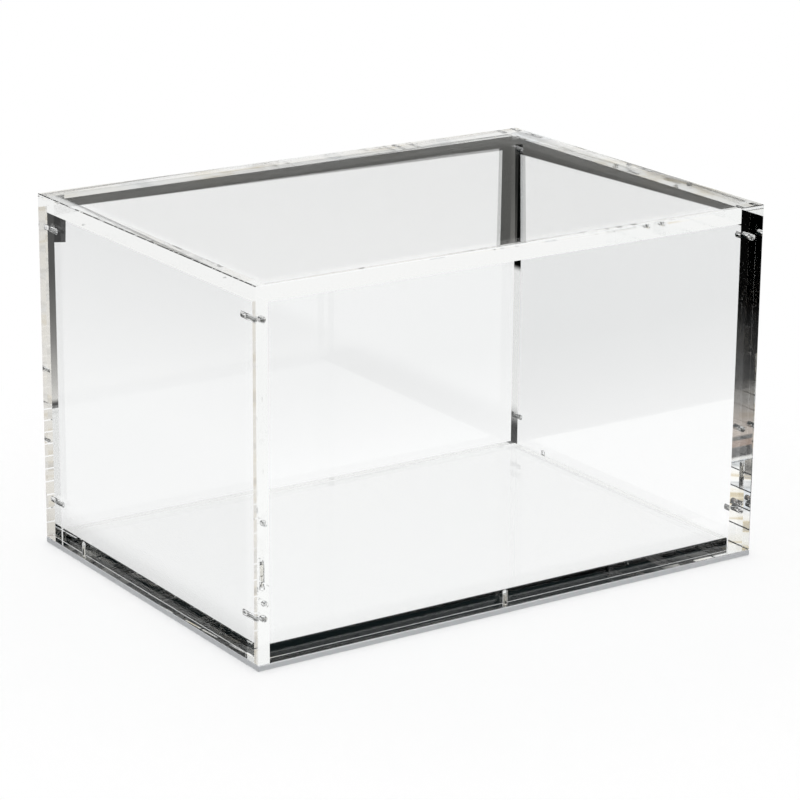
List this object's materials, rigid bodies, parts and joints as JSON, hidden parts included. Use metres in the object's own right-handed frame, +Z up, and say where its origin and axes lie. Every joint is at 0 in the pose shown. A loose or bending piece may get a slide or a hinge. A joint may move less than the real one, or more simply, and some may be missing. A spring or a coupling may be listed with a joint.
{
  "type": "display box",
  "caption": "Clear rectangular display box: a bonded acrylic cover with thick polished walls lifts straight off a rebated base and is held down by small magnets.",
  "frame": {"origin": "centre of the base's underside", "axes": "+X along the long front, +Y towards the back, +Z up; the front faces -Y"},
  "size_m": [0.3, 0.2144, 0.1885],
  "materials": {
    "acrylic": "clear cast acrylic, polished faces and edges",
    "pin_steel": "ground stainless steel",
    "magnet_nickel": "bright nickel plate on a sintered magnet"
  },
  "bodies": {
    "base": {"base_plate": "acrylic", "base_magnet_front": "magnet_nickel", "base_magnet_left": "magnet_nickel", "base_magnet_right": "magnet_nickel"},
    "cover": {"front_panel": "acrylic", "back_panel": "acrylic", "left_panel": "acrylic", "right_panel": "acrylic", "top_panel": "acrylic", "dowel_pin_front_left_lower": "pin_steel", "dowel_pin_front_left_upper": "pin_steel", "dowel_pin_front_right_lower": "pin_steel", "dowel_pin_front_right_upper": "pin_steel", "dowel_pin_back_left_lower": "pin_steel", "dowel_pin_back_left_upper": "pin_steel", "dowel_pin_back_right_lower": "pin_steel", "dowel_pin_back_right_upper": "pin_steel", "cover_magnet_front": "magnet_nickel", "cover_magnet_left": "magnet_nickel", "cover_magnet_right": "magnet_nickel"}
  },
  "joints": [
    {"name": "cover_lift", "type": "slide", "parent": "base", "child": "cover", "axis": [0, 0, 1], "range_m": [0, 0.2]}
  ]
}
